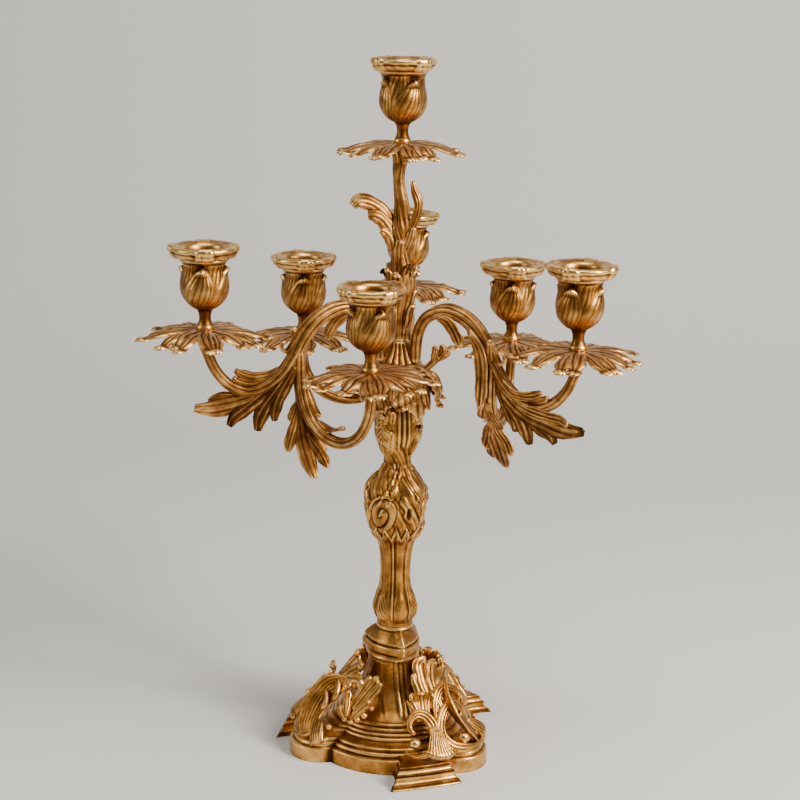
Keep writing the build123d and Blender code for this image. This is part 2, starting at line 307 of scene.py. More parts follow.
def measure_relief(piece, passes=(3, 13), depths=(0.26, 0.75)):
    """Store how far each point stands out, from -1 in grooves to 1 on ridges, as the attribute relief."""
    mesh = piece.data
    count = len(mesh.vertices)
    points = get_points(piece)
    ends = np.empty(len(mesh.edges) * 2, dtype=np.int64)
    mesh.edges.foreach_get("vertices", ends)
    a, b = ends.reshape(-1, 2).T
    neighbours = np.maximum(np.bincount(np.r_[a, b], minlength=count), 1)[:, None]
    normals = np.empty(count * 3)
    mesh.vertex_normals.foreach_get("vector", normals)
    normals = normals.reshape(-1, 3)
    smooth = points.copy()
    relief = np.zeros(count)
    done = 0
    for last, depth in zip(passes, depths):
        for _ in range(last - done):
            total = np.stack([np.bincount(a, smooth[b, k], count) + np.bincount(b, smooth[a, k], count)
                              for k in range(3)], axis=1)
            smooth = 0.5 * smooth + 0.5 * total / neighbours
        done = last
        relief += np.clip(((points - smooth) * normals).sum(axis=1) / depth, -1, 1) / len(passes)
    # The materials paint grooves darker from this number: brown patina together with painted shade.
    if "relief" in mesh.attributes:
        mesh.attributes.remove(mesh.attributes["relief"])
    mesh.attributes.new("relief", "FLOAT", "POINT").data.foreach_set("value", relief)


# %% [markdown]
# ## Gilt bronze
# The finish is one recipe with a few settings. The relief picks a colour from a ramp that runs from
# near-black brown in the grooves, which is patina with painted shade over it, to worn gold on the ridges, and
# a soft noise moves the border between them, so that no two grooves look alike.
# The polish follows the same number: ridges are smooth, hollows are dull. A fine grain in the bump is the
# mark of the chasing tools. The metal is the same all over, so that value sits on the shader itself.

# %% Finishes


def link(tree, source, target):
    """Join two sockets."""
    tree.links.new(source, target)


def gilding(name, colours, polish=(0.52, 0.27), mottle=0.32, shift=0.5, grain=0.35):
    """Gilt bronze whose ramp of (place, colour) paints hollows dark with patina and painted shade and ridges
    bright with worn gold, with the roughness of hollows and ridges.
    """
    finish = bpy.data.materials.new(name)
    finish.use_nodes = True
    tree = finish.node_tree
    new = tree.nodes.new
    shader = tree.nodes["Principled BSDF"]
    shader.inputs["Metallic"].default_value = 1.0
    place = new("ShaderNodeTexCoord").outputs["Object"]

    relief = new("ShaderNodeAttribute")
    relief.attribute_name = "relief"
    cloud = new("ShaderNodeTexNoise")
    cloud.inputs["Scale"].default_value = 85.0
    cloud.inputs["Detail"].default_value = 6.0
    cloud.inputs["Roughness"].default_value = 0.65
    link(tree, place, cloud.inputs["Vector"])

    spread = new("ShaderNodeMapRange")
    spread.inputs["From Min"].default_value = 0.3
    spread.inputs["From Max"].default_value = 0.7
    spread.inputs["To Min"].default_value = shift - mottle
    spread.inputs["To Max"].default_value = shift + mottle
    link(tree, cloud.outputs["Fac"], spread.inputs["Value"])
    # Low in the grooves: dark ramp colour, brown patina with painted shade. High on the ridges: worn bright
    # gold.
    wear_patina_and_painted_shade = new("ShaderNodeMath")
    wear_patina_and_painted_shade.operation = "MULTIPLY_ADD"
    wear_patina_and_painted_shade.inputs[1].default_value = 0.75
    wear_patina_and_painted_shade.use_clamp = True
    link(tree, relief.outputs["Fac"], wear_patina_and_painted_shade.inputs[0])
    link(tree, spread.outputs["Result"], wear_patina_and_painted_shade.inputs[2])

    ramp = new("ShaderNodeValToRGB")
    stops = ramp.color_ramp.elements
    while len(stops) < len(colours):
        stops.new(0.5)
    for stop, (spot, colour) in zip(stops, colours):
        stop.position = spot
        stop.color = (*colour, 1)
    link(tree, wear_patina_and_painted_shade.outputs["Value"], ramp.inputs["Fac"])
    link(tree, ramp.outputs["Color"], shader.inputs["Base Color"])

    dull = new("ShaderNodeMapRange")
    dull.inputs["To Min"].default_value = polish[0]
    dull.inputs["To Max"].default_value = polish[1]
    link(tree, wear_patina_and_painted_shade.outputs["Value"], dull.inputs["Value"])
    link(tree, dull.outputs["Result"], shader.inputs["Roughness"])

    chasing = new("ShaderNodeTexNoise")
    chasing.inputs["Scale"].default_value = 620.0
    chasing.inputs["Detail"].default_value = 4.0
    chasing.inputs["Distortion"].default_value = 0.6
    link(tree, place, chasing.inputs["Vector"])
    bump = new("ShaderNodeBump")
    bump.inputs["Strength"].default_value = grain
    bump.inputs["Distance"].default_value = 0.25 * MM
    link(tree, chasing.outputs["Fac"], bump.inputs["Height"])
    link(tree, bump.outputs["Normal"], shader.inputs["Normal"])
    return finish


# Each ramp's low stops are the brown patina and painted shade of the grooves, its top stop the worn gold.
STEM_GILT = gilding("stem_gilt", [(0.0, (0.045, 0.016, 0.004)), (0.30, (0.165, 0.062, 0.010)),
                                  (0.60, (0.46, 0.205, 0.040)), (1.0, (0.90, 0.54, 0.165))],
                                  polish=(0.50, 0.29),
                    mottle=0.26)
BRANCH_GILT = gilding("branch_gilt", [(0.0, (0.052, 0.020, 0.005)), (0.32, (0.135, 0.050, 0.011)),
                                      (0.64, (0.36, 0.155, 0.035)), (1.0, (0.82, 0.475, 0.155))],
                      polish=(0.56, 0.36), mottle=0.26)
CUP_GILT = gilding("cup_gilt", [(0.0, (0.035, 0.011, 0.002)), (0.30, (0.155, 0.057, 0.010)),
                                (0.62, (0.39, 0.180, 0.038)), (1.0, (0.84, 0.51, 0.165))],
                   polish=(0.48, 0.30), mottle=0.26)


def plain_metal(name, colour, roughness):
    """Plain turned metal for the hidden fittings, a little uneven in its polish."""
    finish = bpy.data.materials.new(name)
    finish.use_nodes = True
    tree = finish.node_tree
    shader = tree.nodes["Principled BSDF"]
    shader.inputs["Base Color"].default_value = (*colour, 1)
    shader.inputs["Metallic"].default_value = 1.0
    cloud = tree.nodes.new("ShaderNodeTexNoise")
    cloud.inputs["Scale"].default_value = 240.0
    cloud.inputs["Detail"].default_value = 5.0
    link(tree, tree.nodes.new("ShaderNodeTexCoord").outputs["Object"], cloud.inputs["Vector"])
    uneven = tree.nodes.new("ShaderNodeMapRange")
    uneven.inputs["To Min"].default_value = roughness - 0.12
    uneven.inputs["To Max"].default_value = roughness + 0.12
    link(tree, cloud.outputs["Fac"], uneven.inputs["Value"])
    link(tree, uneven.outputs["Result"], shader.inputs["Roughness"])
    return finish


STEEL = plain_metal("steel_fittings", (0.42, 0.41, 0.39), 0.42)
BRASS = plain_metal("brass_fittings", (0.46, 0.29, 0.10), 0.38)
for name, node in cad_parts.items():
    steel = name.startswith("stud") or "rod" in name or "nut" in name or "washer" in name or "screw" in name
    node.data.materials.clear()
    node.data.materials.append(STEEL if steel else BRASS)
print("finishes:", [m.name for m in (STEM_GILT, BRANCH_GILT, CUP_GILT)])

# %% [markdown]
# ## Fitting a piece
# A finished piece gets its relief, its finish, the body that it rides on and the plain nodes that it stands
# for. The seven lights share their castings, so a piece is modelled once and its copies are set on their
# feet.

# %% Fit


def fit(piece, body, slot, finish, *nodes):
    """Give a piece its relief for patina and painted groove shade, its finish and its place in the frame."""
    measure_relief(piece)
    piece.data.materials.clear()
    piece.data.materials.append(finish)
    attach(piece, body)
    if nodes:
        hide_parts(*nodes)
    triangles = sum(len(face.vertices) - 2 for face in piece.data.polygons)
    print(f"{piece.name}: {triangles} triangles on {body}")
    return piece


def cast(pattern, name, turn, middle, tilt=0.0):
    """Copy of a pattern with its own mesh, turned about its own axis and set on its place."""
    copy = pattern.copy()
    copy.data = pattern.data.copy()
    copy.name = copy.data.name = name
    bpy.context.collection.objects.link(copy)
    points = get_points(copy)
    angle = math.radians(turn)
    spin = np.array([[math.cos(angle), -math.sin(angle), 0], [math.sin(angle), math.cos(angle), 0],
                     [0, 0, 1]])
    lean = math.radians(tilt)
    tip = np.array([[1, 0, 0], [0, math.cos(lean), -math.sin(lean)], [0, math.sin(lean), math.cos(lean)]])
    set_points(copy, points @ spin.T @ tip.T + np.asarray(middle, float))
    return copy


def discard(*patterns):
    """Throw away patterns that have been cast."""
    for pattern in patterns:
        bpy.data.objects.remove(pattern, do_unlink=True)


# %% [markdown]
# ## The candle cups
# Each cup is a tulip of broad leaves on a small turned foot. On the real casting the leaves overlap: every
# leaf springs from the foot, swells over the bulb and lays its reeded blade over its neighbour. Here one
# outline makes the cup, and the leaves are a relief rule: at each point the highest leaf wins, which leaves
# the crisp crease where one blade crosses the next.

# %% Cup
CUP_BORE = 13.3
CUP_FLOOR = 32.9
CUP_LIP = 54.6
CUP_OUTLINE = [(0, 0.05), (5.5, 0), (6.7, 0.6), (6.7, 2.6), (5.6, 4.2), (4.7, 6.5), (4.4, 9.5), (4.9, 12.5),
               (6.2, 15.5), (9.0, 18.2), (12.6, 21.5), (15.4, 25.5), (16.9, 30.5), (16.9, 36), (16.0, 42),
               (15.4, 47.5), (16.6, 51), (19.0, 53.6), (19.0, CUP_LIP), (19.0, CUP_LIP), (CUP_BORE, CUP_LIP),
               (CUP_BORE, CUP_LIP), (CUP_BORE, 44), (CUP_BORE, CUP_FLOOR), (CUP_BORE, CUP_FLOOR),
               (6, CUP_FLOOR), (0, CUP_FLOOR)]


def tulip(azimuth, radius, height, place):
    """Relief of overlapping reeded leaves on the outside of a cup."""
    outside = place < 0.56
    rising = np.clip((height - 14.5) / 40.0, 0, 1)
    best = np.zeros_like(azimuth)
    for row, (count, start, tip, lift) in enumerate([(4, 0.4, 1.3, 0.0), (4, 1.18, 0.86, 0.9)]):
        half = 1.02 * np.sin(np.pi * np.clip(rising / tip, 0, 1) ** 0.62) ** 0.75
        for leaf_number in range(count):
            middle = start + leaf_number * 2 * np.pi / count + 1.25 * rising * (1 - 0.35 * rising)
            away = (azimuth - middle + np.pi) % (2 * np.pi) - np.pi
            across = away / np.maximum(half, 0.02)
            inside = (np.abs(across) < 1) & (rising < tip)
            fan = 7 * (across + 0.35 * across**2)
            ribs = np.abs(np.sin(np.pi * fan / 2)) ** 0.55
            blade = lift + 1.25 * (1 - across**2) + 0.50 * (ribs - 0.4) * ease(rising, 0.03, 0.2)
            blade = blade + 2.4 * swell(rising, tip * 0.93, 0.11) * (1 - across**2) * (row == 1)
            best = np.where(inside, np.maximum(best, blade), best)
    return np.where(outside, (best - 0.75) * ease(height, 14, 19) * ease(CUP_LIP - height, 0.0, 2.5), 0.0)


cup_pattern = turned("cup_pattern", CUP_OUTLINE, 168, 116, tulip)

# %% [markdown]
# ## The nozzles
# The loose rim is a flat ring over a hollow moulding, and leaf tips fold up over it like clasps. Between the
# clasps the edge is turned with a lip above and a bead below. The tube underneath drops into the cup.

# %% Nozzle
RIM_LOW = 55.0
TUBE = 13.0
CANDLE = 11.0
NOZZLE_OUTLINE = [(0, 33.2), (TUBE, 33.2), (TUBE, 33.2), (TUBE, 44), (TUBE, RIM_LOW), (TUBE, RIM_LOW),
                  (18.0, RIM_LOW), (20.4, RIM_LOW + 0.2), (22.4, 56.0), (23.6, 57.3), (24.1, 58.6),
                  (24.0, 59.3),
                  (24.9, 60.0), (25.6, 61.2), (25.5, 62.6), (24.7, 63.6), (23.2, 64.0), (21.0, 63.6),
                  (18.4, 62.8), (16.6, 61.9), (15.4, 60.2), (14.6, 57.8), (12.4, 55.6), (CANDLE, 53.6),
                  (CANDLE, 53.0), (CANDLE, 45), (CANDLE, 35.3), (CANDLE, 35.3), (0, 35.3)]
CLASPS = [(8, 15), (97, 13), (188, 16), (275, 14)]


def clasps(azimuth, radius, height, place):
    """Leaf tips that fold over the rim, reeded across its edge."""
    rim = ease(radius, 17.5, 20.5) * ease(height, RIM_LOW - 0.5, RIM_LOW + 0.3)
    lift = np.zeros_like(azimuth)
    for middle, half in CLASPS:
        away = (np.degrees(azimuth) - middle + 180) % 360 - 180
        across = away / (half * (1.25 - 0.35 * np.clip((height - 55) / 9, 0, 1)))
        fold = ease(1.12 - np.abs(across), 0.0, 0.22)
        ribs = np.abs(np.sin(np.pi * (across + 1) * 1.5)) ** 0.6
        on_top = ease(height, 62.6, 63.8) * (1 - ease(radius, 23.5, 25))
        lift = np.maximum(lift, fold * (0.7 + 0.7 * ribs) * (1 - 0.75 * on_top))
    wave = 0.35 * np.sin(3 * azimuth + 0.7) + 0.25 * np.sin(7 * azimuth) + 0.12 * np.sin(17 * azimuth
                                                                                         + height)
    return rim * (lift + 0.9 * wave * ease(radius, 20, 23.5))


nozzle_pattern = turned("nozzle_pattern", NOZZLE_OUTLINE, 148, 80, clasps)

# %% [markdown]
# ## The drip pans
# A pan is a ring of acanthus lobes that spring from the cup's foot, droop and curl out again at their tips.
# Neighbours differ: some lobes reach far and level, others drop early. Each is a tongue with its own reeds,
# laid over the next one, and a thin boss in the middle carries the cup.

# %% Pan
PAN_LOBES = [  # azimuth, reach, droop in degrees, half width, twist of the spine
    (0, 40, 44, 9.0, 8), (21, 47, 34, 5.6, -9), (40, 51, 24, 6.4, 7), (58, 50, 20, 5.4, -8),
    (82, 43, 40, 9.2, 9), (104, 50, 26, 5.8, -8), (121, 52, 20, 6.4, 6), (141, 48, 32, 6.0, -8),
    (166, 42, 44, 8.8, -8), (187, 50, 28, 5.8, 8), (204, 52, 20, 6.4, -6), (226, 45, 38, 7.8, 9),
    (247, 50, 24, 5.6, -7), (266, 52, 18, 6.2, 6), (288, 46, 36, 7.4, -8), (308, 51, 22, 5.8, 7),
    (326, 52, 18, 6.0, -6), (345, 46, 34, 6.0, 6),
]


def drooping_spine(azimuth, reach, droop, twist, steps=24):
    """Line from the middle of a pan outwards, bending down and lipping out at its end."""
    share = np.linspace(0, 1, steps)
    slope = np.radians(1 - 6 * ease(share, 0.1, 0.45) - 0.72 * droop * ease(share, 0.45, 0.8)
                       + (0.72 * droop + 16) * ease(share, 0.84, 0.93)
                       - 55 * ease(share, 0.93, 1.0))
    step = (reach - 4) / np.cos(slope[1:]).sum()
    out = 4 + np.r_[0, np.cumsum(np.cos(slope[1:]) * step)]
    down = np.r_[0, np.cumsum(np.sin(slope[1:]) * step)]
    side = np.radians(azimuth + twist * share**2)
    return np.stack([out * np.sin(side), -out * np.cos(side), down - 0.7], axis=1)


pan_parts = []
for number, (azimuth, reach, droop, half, twist) in enumerate(PAN_LOBES):
    spine = drooping_spine(azimuth, reach, droop, twist)
    spine[:, 2] -= 0.5 * (number % 2)
    width = np.array([0.25, 0.5, 0.75, 0.95, 1.04, 0.98, 0.80, 0.98, 1.02, 0.78, 0.60, 0.88, 0.86]) * half
    pan_parts.append(tongue(f"lobe_{number}", spine, (0, 0, 1), width, reed_count=3, relief=1.0,
                            thickness=2.2,
                            scallop=0.05, arch=0.12, around=28, rows=42, point=0.13))
pan_parts.append(turned("boss", [(0, -2.6), (7.2, -2.6), (9.5, -2.2), (12.5, -1.6), (13.5, -1.0),
                                 (12.0, -0.4), (9.0, -0.05), (0, -0.05)], 72, 20))
pan_pattern = join("pan_pattern", pan_parts)
print("pan pattern:", len(pan_pattern.data.polygons), "faces")

# %% Set the lights up
TURNS = {"centre": 12, "right_outer": 40, "right_inner": -25, "back_outer": 150, "back_inner": 75,
         "left_outer": -20, "left_inner": 100}
for light, foot in FOOT.items():
    turn = TURNS[light]
    fit(cast(cup_pattern, f"leafy_cup_{light}", turn, foot), "branches", "gilt_branches", CUP_GILT,
        f"cup_{light}")
    fit(cast(nozzle_pattern, f"rimmed_nozzle_{light}", turn + 20, foot), f"nozzle_{light}", "gilt_nozzles",
        CUP_GILT, f"nozzle_{light}")
    fit(cast(pan_pattern, f"leaf_pan_{light}", 1.7 * turn, foot), "branches", "gilt_branches", BRANCH_GILT,
        f"pan_{light}")
discard(cup_pattern, nozzle_pattern, pan_pattern)

# %% [markdown]
# ## The branches
# Three arms leave the fluted hub, climb over in an arch and fork: the outer branch sweeps out and up to one
# light, the inner branch drops, turns back and rises to another. A founder would model one arm and cast it
# three times, so one rule draws them all. Where strands part, a sheath peels off and curls its tip, and
# acanthus leaves cover the forks. The arms run in upright planes, so a point is given by its distance from
# the axis, its height and how far it stands to the side of the plane.

# %% Arm
ARM_TURN = {"right": 1.2, "back": 122.1, "left": -123.3}
ARM_RISE = {"right": -1.4, "back": -2.1, "left": 3.5}
OUTER_AZIMUTH = 55.6
FORK = 84.0
OUTER_ROUTE = [(15.2, 325.5), (15.8, 339), (18, 352), (25, 364), (40, 371), (55, 369.5), (69, 361.5),
               (80, 349),
               (88, 335), (98, 321.5), (111.5, 312), (126, 309), (140, 315), (150.5, 327), (156.5, 341)]
INNER_ROUTE = [(-7, 357), (-2, 345), (0.3, 332), (1, 320), (4, 305), (12, 291), (25, 280.5), (42, 276),
               (59, 278), (74, 287), (83, 300), (86.5, 314)]


def make_arm(arm):
    """One arm with its two branches, sheaths and leaves."""
    azimuth = OUTER_AZIMUTH + ARM_TURN[arm]
    rise = ARM_RISE[arm]
    outer_foot, inner_foot = FOOT[f"{arm}_outer"], FOOT[f"{arm}_inner"]
    out = at(1, azimuth)
    side = np.array([-out[1], out[0], 0])

    def main(*points):
        """Points of the main plane as (distance, height, side)."""
        rows = []
        for point in points:
            r, z = point[:2]
            shift = point[2] if len(point) > 2 else 0
            rows.append(out * r + side * shift + [0, 0, z + rise * min(max((r - 40) / 118, 0), 1)])
        return np.array(rows)

    fork = at(FORK, azimuth)
    run = inner_foot[:2] - fork[:2]
    reach = np.linalg.norm(run)
    run = np.append(run / reach, 0)
    inner_side = np.array([-run[1], run[0], 0])

    def inner(*points):
        """Points of the inner plane as (distance from the fork, height, side)."""
        rows = []
        for point in points:
            s, z = point[:2]
            shift = point[2] if len(point) > 2 else 0
            rows.append(fork + run * s + inner_side * shift + [0, 0, z + rise * 0.4])
        return np.array(rows)

    top = np.array([0, 0, 1])
    strands = []
    route = np.vstack([main(*OUTER_ROUTE), [outer_foot - [0, 0, 12], outer_foot - [0, 0, 1.6]]])
    strands.append(swept("outer_branch", route, side,
                         [4.2, 4.4, 4.6, 4.9, 5.2, 5.6, 5.8, 5.4, 5.0, 4.8, 4.6, 4.3, 4.0, 4.0, 6.0],
                         [4.2, 4.2, 4.3, 4.6, 4.8, 5.0, 5.2, 5.0, 4.6, 4.6, 4.4, 4.2, 4.0, 4.0, 6.0],
                         around=52, rows=190, grooves=6, cut=0.24, twist=0.30, ends=0.012))
    route = np.vstack([inner(*INNER_ROUTE), [inner_foot - [0, 0, 12], inner_foot - [0, 0, 1.6]]])
    strands.append(swept("inner_branch", route, inner_side,
                         [2.6, 4.2, 5.2, 5.2, 5.0, 4.8, 4.6, 4.6, 4.4, 4.2, 4.0, 4.0, 6.0],
                         [2.6, 4.2, 5.2, 5.2, 4.8, 4.6, 4.4, 4.4, 4.2, 4.1, 4.0, 4.0, 6.0],
                         around=52, rows=160, grooves=6, cut=0.24, twist=-0.3, ends=0.012))

    # sheaths: one lies on the back of the arch and curls up, one peels off under it, one covers the fork
    strands.append(swept("back_sheath", main((22, 364, 1), (31, 371.5, 1), (44, 375.6, 1), (57, 374),
                                             (70, 367),
                                             (81, 356, -1), (89, 344, -1), (93.5, 338.5, -2), (97, 341, -2),
                                             (96, 345.5, -2), (92.5, 345.5, -2)), side,
                         [1.4, 2.0, 2.4, 2.6, 2.8, 2.9, 2.8, 2.4, 1.8, 1.2],
                         [2.0, 3.0, 3.8, 4.2, 4.4, 4.4, 4.2, 3.4, 2.6, 1.8],
                         around=36, rows=96, grooves=5, cut=0.22))
    strands += spray("under_sheath", side, [(main((36, 366, -2), (45, 364.5, -3), (52, 359.5, -4),
                                                  (56.5, 352.5, -4),
                                                  (59, 346, -4)), 5.2)], relief=1.2, thickness=4.0)
    strands += spray("fork_sheath", side, [(main((66, 361, -4), (76, 349, -6), (80, 336, -7), (81, 322, -7),
                                                 (80, 309, -6), (79, 301, -5)), 5.6)], relief=1.4,
                                                 thickness=5.0,
                     rows=70)

    # the great leaf under the outer branch, and a small one in the hollow of its bend
    strands += spray("great_leaf", side, [
        (main((88, 331), (100, 315), (116, 305), (134, 299), (152, 296, -1), (167, 297.5, -2)), 7.6),
        (main((93, 322, 1), (108, 308, 1), (124, 297, 1), (136, 289.5, 2), (141, 282.5, 2.5)), 6.4),
        (main((90, 326, 2), (100, 311, 2), (110, 298, 2), (116, 287, 3), (118.5, 277.5, 3.5)), 6.6),
        (main((87, 328, 3), (94, 314, 3), (101, 301, 3), (104.5, 292, 4), (105, 285, 4.5)), 5.4),
        (main((104, 312, -2), (120, 306.5, -3), (136, 304.5, -3), (148, 304, -4), (155, 301, -6)), 4.2)],
        relief=1.6, thickness=3.4, around=38, rows=56)
    strands += spray("hollow_leaf", side + 0.6 * top, [
        (main((96, 326, -3), (106, 319, -5), (117, 318, -6), (127, 320.5, -7), (133, 324, -8)), 4.8),
        (main((98, 322, -1), (109, 315, -2), (121, 313.5, -2), (131, 316, -3), (136, 319.5, -3)), 4.6)],
        relief=1.2, thickness=2.8)

    # the leaf that hangs from the fork, its face turned along the inner branch
    hang = at(1, azimuth + 89)
    across = np.array([-hang[1], hang[0], 0])

    def hung(*points):
        return np.array([fork + hang * a + across * c + [0, 0, z + rise * 0.5] for a, z, c in points])

    strands += spray("hanging_leaf", hang + 0.3 * top, [
        (hung((-2, 306, 0), (3, 294, 0), (9, 281, 0), (16, 268, 0), (25, 255, 1), (33, 245, 3)),
         [2.4, 3.0, 4.0, 5.6, 6.8, 7.2, 7.0, 6.8, 4.8]),
        (hung((3, 291, -1), (8, 281, -5), (12, 272, -10), (14, 262, -13)), 4.8),
        (hung((4, 289, 1), (10, 279, 6), (17, 270, 11), (21, 262, 15)), 5.0),
        (hung((0, 298, -1), (3, 291, -5), (5, 284, -9)), 3.4),
        (hung((12, 276, 3), (19, 267, 8), (26, 258, 12), (31, 252, 14)), 4.6)],
        relief=1.4, thickness=2.8, around=34, rows=48)
    strands += spray("knee_leaf", top, [(inner((20, 287, 3), (31, 282.5, 5), (41, 283.5, 5), (50, 288, 4)),
                                         5.6)],
                     relief=1.0)
    strands += spray("spur_leaf", run + 0.4 * top,
                     [(inner((0, 314, 4), (7, 301, 6), (12, 292, 7), (17, 288, 8)), 4.8)],
                     relief=1.0)

    # small leaves cup the branches' ends under the pans
    for foot, way in ((outer_foot, out), (inner_foot, run)):
        start = math.atan2(way[0], -way[1])
        for number in range(5):
            swing = start + number * 2 * math.pi / 5 + 0.4
            ray = np.array([math.sin(swing), -math.cos(swing), 0])
            line = [foot + ray * r + [0, 0, z] for r,
                    z in ((3.4, -15), (4.6, -9.5), (7.6, -5.2), (11.6, -4.6))]
            strands.append(tongue(f"bract_{number}", line, ray + 0.4 * top, [2.0, 3.4, 4.4, 2.4],
                                  reed_count=3,
                                  relief=0.7, thickness=2.0, around=20, rows=18))
    return fit(join(f"leafy_arm_{arm}", strands), "branches", "gilt_branches", BRANCH_GILT, f"arm_{arm}")


for arm in ARMS:
    make_arm(arm)

# %% [markdown]
# ## The hub and the middle branch
# The arms are screwed to a small fluted bell. Its flutes are convex and bright, over a plain polished rim. A
# twig grows out of it and carries the highest light: bark-like ribs, a knot of folded leaves half way up and
# two larger leaves where it thins.

# %% Hub and middle branch


def bell_flutes(azimuth, radius, height, place):
    """Sixteen convex flutes between the rim and the neck."""
    zone = ease(height, 325.8, 327.5) * (1 - ease(height, 340.5, 342.5))
    return zone * (reeds(azimuth / (2 * np.pi), 16, 0.7) - 0.6) * 1.7


def bark(azimuth, radius, height, place):
    """Twisting ribs of the twig, deeper on its thick part, with a swelling at its knots."""
    turn = azimuth + 0.5 * np.sin(height / 17) + (height - 345) / 80
    ribs = reeds(turn / (2 * np.pi), 7, 0.7) - 0.55
    fine = reeds(turn / (2 * np.pi) * 2.0 + 0.15, 9, 0.7) - 0.5
    knots = 1.6 * swell(height, 392, 12) + 1.0 * swell(height, 432, 9) + 0.8 * swell(height, 352, 7)
    wobble = 0.7 * np.sin(2 * azimuth + height / 9) * ease(height, 348, 360)
    rise = (0.95 * ribs + 0.3 * fine + knots + wobble) * ease(height, 343, 350) * (1 - ease(height, 489, 496))
    return rise


fit(turned("bell_hub", [(3.2, 322.1), (18.3, 322.1), (18.4, 322.1), (18.6, 323), (18.4, 325), (17.2, 326),
                        (16.2, 326.4), (14.6, 328.5), (12.0, 332), (9.6, 336), (8.2, 339.5), (7.6, 342.4),
                        (6.2, 343), (3.2, 343)], 160, 60, bell_flutes),
    "branches", "gilt_branches", CUP_GILT, "fluted_hub")

twig = [turned("twig", [(3.4, 343), (6.6, 343.1), (6.8, 346), (6.2, 350), (7.6, 360), (9.6, 371), (10.0, 385),
                        (9.4, 398), (7.8, 408), (6.4, 420), (5.8, 436), (5.2, 452), (4.7, 468), (5.0, 482),
                        (6.6, 490), (9.0, 495.2), (3.4, 495.4)], 96, 160, bark)]
points = get_points(twig[0])
points[:, 0] -= 2.4 * swell(points[:, 2], 472, 24)
set_points(twig[0], points)
twig += spray("left_leaf", (0.1, -0.9, 0.45), [
    ([at(4, -70, 424), at(9, -80, 436), at(16, -82, 446), at(25, -80, 452.5), at(34, -78, 454),
      at(39, -77, 450)], 6.4),
    ([at(5, -60, 418), at(9, -66, 430), at(15, -70, 439), at(21, -72, 443), at(27, -74, 443)], 6.0),
    ([at(5, -55, 412), at(8, -60, 422), at(12, -64, 429), at(17, -67, 432)], 5.0)], relief=1.2, point=0.05)
twig += spray("right_leaf", (0.35, -0.95, 0.0), [
    ([at(3, 30, 418), at(8, 66, 430), at(12.5, 76, 442), at(13.5, 80, 453), at(10, 82, 462),
      at(8.5, 82, 469)], 3.8),
    ([at(4, 20, 408), at(7, 50, 416), at(9.5, 62, 426), at(10.5, 70, 433)], 4.4)], relief=1.0)
for number, (azimuth, low, high, lean, width) in enumerate([
        (-55, 379, 401, 7.0, 5.0), (-18, 375, 398, 8.5, 5.6), (22, 383, 404, 8.5, 5.2),
        (62, 377, 398, 9.0, 5.6),
        (105, 382, 402, 8.0, 5.0), (150, 376, 399, 8.0, 5.6), (-145, 381, 401, 8.0, 5.4),
        (-100, 376, 398, 8.0, 5.0),
        (52, 352, 372, 6.5, 4.4), (80, 363, 383, 7.0, 4.2), (-30, 352, 371, 6.0, 4.4),
        (-5, 405, 424, 5.0, 4.0),
        (170, 352, 372, 6.0, 4.4), (-120, 354, 373, 6.0, 4.4), (120, 408, 427, 5.0, 4.0)]):
    middle_height = (low + high) / 2
    spine = [at(6.5, azimuth - 8, low), at(9.6, azimuth - 4, middle_height - 2), at(10.5, azimuth, high - 5),
             at(7.5 + lean * 0.75, azimuth + 4, high), at(7.5 + lean, azimuth + 6, high - 2.5)]
    twig.append(tongue(f"knot_leaf_{number}", spine, at(1, azimuth),
                       [1.6, width * 0.8, width, width * 0.9, width * 0.4],
                       reed_count=3, relief=0.7, thickness=2.4, around=24, rows=28, point=0.10))
for number in range(5):
    azimuth = 72 * number + 20
    spine = [at(5.4, azimuth, 482), at(6.8, azimuth, 488), at(10, azimuth, 492.4), at(15, azimuth, 493.4)]
    twig.append(tongue(f"bract_{number}", spine, at(1, azimuth, 0.5), [2.0, 3.6, 4.8, 2.6], reed_count=3,
                       relief=0.8, thickness=2.2, around=22, rows=22))
fit(join("leafy_twig", twig), "branches", "gilt_branches", BRANCH_GILT, "centre_branch")

# %% [markdown]
# ## The leafy collar
# Between the stem and the branches sits a loose collar: broad acanthus leaves spill over its edge, hang
# beside the vase and flick their tips outwards, and one sprig with a bud of three leaves stands up beside
# the bell.

